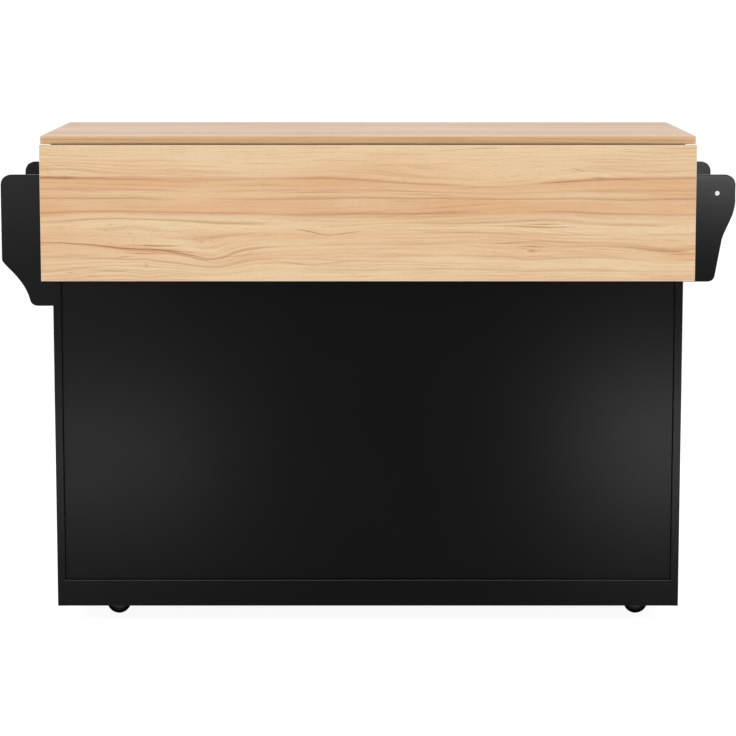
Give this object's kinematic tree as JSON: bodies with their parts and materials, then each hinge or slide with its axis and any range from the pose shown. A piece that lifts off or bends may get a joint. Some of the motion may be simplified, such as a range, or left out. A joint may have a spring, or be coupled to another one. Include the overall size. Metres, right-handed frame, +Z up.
{
  "type": "drop leaf kitchen island",
  "caption": "Kitchen island cabinet on casters with a thin wooden top, a hinged rear drop leaf on folding stays, end spice and towel racks, doors and drawers.",
  "frame": {"origin": "on the floor, under the middle of the bounding box", "axes": "+X along the island towards the towel rack, -Y towards the drop leaf, +Y towards the doors and drawers, +Z up"},
  "size_m": [1.383, 0.5286, 0.932],
  "materials": {
    "wood_top": "clear satin lacquer over light wood",
    "black_paint": "satin black paint on board",
    "drawer_board": "plain board",
    "bright_metal": "satin nickel",
    "zinc_steel": "zinc plated",
    "blackened_steel": "blackened steel",
    "wheel_rubber": "black rubber tread on a dark hub",
    "pedal_plastic": "black"
  },
  "bodies": {
    "cabinet": {"worktop": "wood_top", "side_panel_left": "black_paint", "side_panel_right": "black_paint", "partition_left": "black_paint", "partition_right": "black_paint", "back_panel": "black_paint", "back_bottom_rail": "black_paint", "front_bottom_rail": "black_paint", "bottom_panel": "black_paint", "shelf_left": "black_paint", "shelf_right": "black_paint", "spice_rack_rear_end": "black_paint", "spice_rack_front_end": "black_paint", "spice_rack_shelf": "black_paint", "spice_rack_slat": "black_paint", "towel_rack_rear_end": "black_paint", "towel_rack_front_end": "black_paint", "towel_bar": "bright_metal", "towel_bar_screw_rear": "bright_metal", "towel_bar_screw_front": "bright_metal", "leaf_hinge_left_fixed": "blackened_steel", "leaf_hinge_middle_fixed": "blackened_steel", "leaf_hinge_right_fixed": "blackened_steel", "stay_bracket_left": "zinc_steel", "stay_bracket_right": "zinc_steel", "caster_plate_rear_left": "zinc_steel", "caster_plate_rear_right": "zinc_steel", "caster_plate_front_left": "zinc_steel", "caster_plate_front_right": "zinc_steel"},
    "leaf": {"drop_leaf": "wood_top", "leaf_hinge_left_moving": "blackened_steel", "leaf_hinge_middle_moving": "blackened_steel", "leaf_hinge_right_moving": "blackened_steel", "stay_track_left": "zinc_steel", "stay_track_right": "zinc_steel"},
    "stay_left": {"stay_arm_left": "zinc_steel"},
    "stay_right": {"stay_arm_right": "zinc_steel"},
    "door_left": {"door_left": "black_paint", "door_left_handle": "bright_metal"},
    "door_right": {"door_right": "black_paint", "door_right_handle": "bright_metal"},
    "top_drawer": {"top_drawer_front": "black_paint", "top_drawer_box": "drawer_board", "top_drawer_handle": "bright_metal"},
    "middle_drawer": {"middle_drawer_front": "black_paint", "middle_drawer_box": "drawer_board", "middle_drawer_handle": "bright_metal"},
    "bottom_drawer": {"bottom_drawer_front": "black_paint", "bottom_drawer_box": "drawer_board", "bottom_drawer_handle": "bright_metal"},
    "fork_rear_left": {"caster_fork_rear_left": "zinc_steel"},
    "wheel_rear_left": {"caster_wheel_rear_left": "wheel_rubber"},
    "fork_rear_right": {"caster_fork_rear_right": "zinc_steel"},
    "wheel_rear_right": {"caster_wheel_rear_right": "wheel_rubber"},
    "fork_front_left": {"caster_fork_front_left": "zinc_steel"},
    "wheel_front_left": {"caster_wheel_front_left": "wheel_rubber"},
    "pedal_front_left": {"brake_pedal_front_left": "pedal_plastic"},
    "fork_front_right": {"caster_fork_front_right": "zinc_steel"},
    "wheel_front_right": {"caster_wheel_front_right": "wheel_rubber"},
    "pedal_front_right": {"brake_pedal_front_right": "pedal_plastic"}
  },
  "joints": [
    {"name": "leaf_hinge", "type": "hinge", "parent": "cabinet", "child": "leaf", "pos_m": [0, -0.24625, 0.914], "axis": [-1, 0, 0], "range_deg": [0, 90]},
    {"name": "stay_left_pivot", "type": "hinge", "parent": "cabinet", "child": "stay_left", "pos_m": [-0.3, -0.22975, 0.819], "axis": [-1, 0, 0], "range_deg": [0, 125.2]},
    {"name": "stay_right_pivot", "type": "hinge", "parent": "cabinet", "child": "stay_right", "pos_m": [0.3, -0.22975, 0.819], "axis": [-1, 0, 0], "range_deg": [0, 125.2]},
    {"name": "door_left_hinge", "type": "hinge", "parent": "cabinet", "child": "door_left", "pos_m": [-0.599, 0.19225, 0.491], "axis": [0, 0, 1], "range_deg": [0, 100]},
    {"name": "door_right_hinge", "type": "hinge", "parent": "cabinet", "child": "door_right", "pos_m": [0.599, 0.19225, 0.491], "axis": [0, 0, -1], "range_deg": [0, 100]},
    {"name": "top_drawer_slide", "type": "slide", "parent": "cabinet", "child": "top_drawer", "axis": [0, 1, 0], "range_m": [0, 0.26]},
    {"name": "middle_drawer_slide", "type": "slide", "parent": "cabinet", "child": "middle_drawer", "axis": [0, 1, 0], "range_m": [0, 0.26]},
    {"name": "bottom_drawer_slide", "type": "slide", "parent": "cabinet", "child": "bottom_drawer", "axis": [0, 1, 0], "range_m": [0, 0.26]},
    {"name": "swivel_rear_left", "type": "hinge", "parent": "cabinet", "child": "fork_rear_left", "pos_m": [-0.502, -0.13475, 0.055], "axis": [0, 0, 1], "continuous": true},
    {"name": "roll_rear_left", "type": "hinge", "parent": "fork_rear_left", "child": "wheel_rear_left", "pos_m": [-0.484, -0.13475, 0.023], "axis": [0, 1, 0], "continuous": true},
    {"name": "swivel_rear_right", "type": "hinge", "parent": "cabinet", "child": "fork_rear_right", "pos_m": [0.502, -0.13475, 0.055], "axis": [0, 0, 1], "continuous": true},
    {"name": "roll_rear_right", "type": "hinge", "parent": "fork_rear_right", "child": "wheel_rear_right", "pos_m": [0.52, -0.13475, 0.023], "axis": [0, 1, 0], "continuous": true},
    {"name": "swivel_front_left", "type": "hinge", "parent": "cabinet", "child": "fork_front_left", "pos_m": [-0.502, 0.12725, 0.055], "axis": [0, 0, 1], "continuous": true},
    {"name": "roll_front_left", "type": "hinge", "parent": "fork_front_left", "child": "wheel_front_left", "pos_m": [-0.484, 0.12725, 0.023], "axis": [0, 1, 0], "continuous": true},
    {"name": "brake_front_left", "type": "hinge", "parent": "fork_front_left", "child": "pedal_front_left", "pos_m": [-0.461, 0.12725, 0.039], "axis": [0, 1, 0], "range_deg": [0, 12]},
    {"name": "swivel_front_right", "type": "hinge", "parent": "cabinet", "child": "fork_front_right", "pos_m": [0.502, 0.12725, 0.055], "axis": [0, 0, 1], "continuous": true},
    {"name": "roll_front_right", "type": "hinge", "parent": "fork_front_right", "child": "wheel_front_right", "pos_m": [0.52, 0.12725, 0.023], "axis": [0, 1, 0], "continuous": true},
    {"name": "brake_front_right", "type": "hinge", "parent": "fork_front_right", "child": "pedal_front_right", "pos_m": [0.543, 0.12725, 0.039], "axis": [0, 1, 0], "range_deg": [0, 12]}
  ],
  "couplings": [
    {"joint": "stay_left_pivot", "follows": "leaf_hinge", "ratio": 1.3905},
    {"joint": "stay_right_pivot", "follows": "leaf_hinge", "ratio": 1.3905}
  ]
}
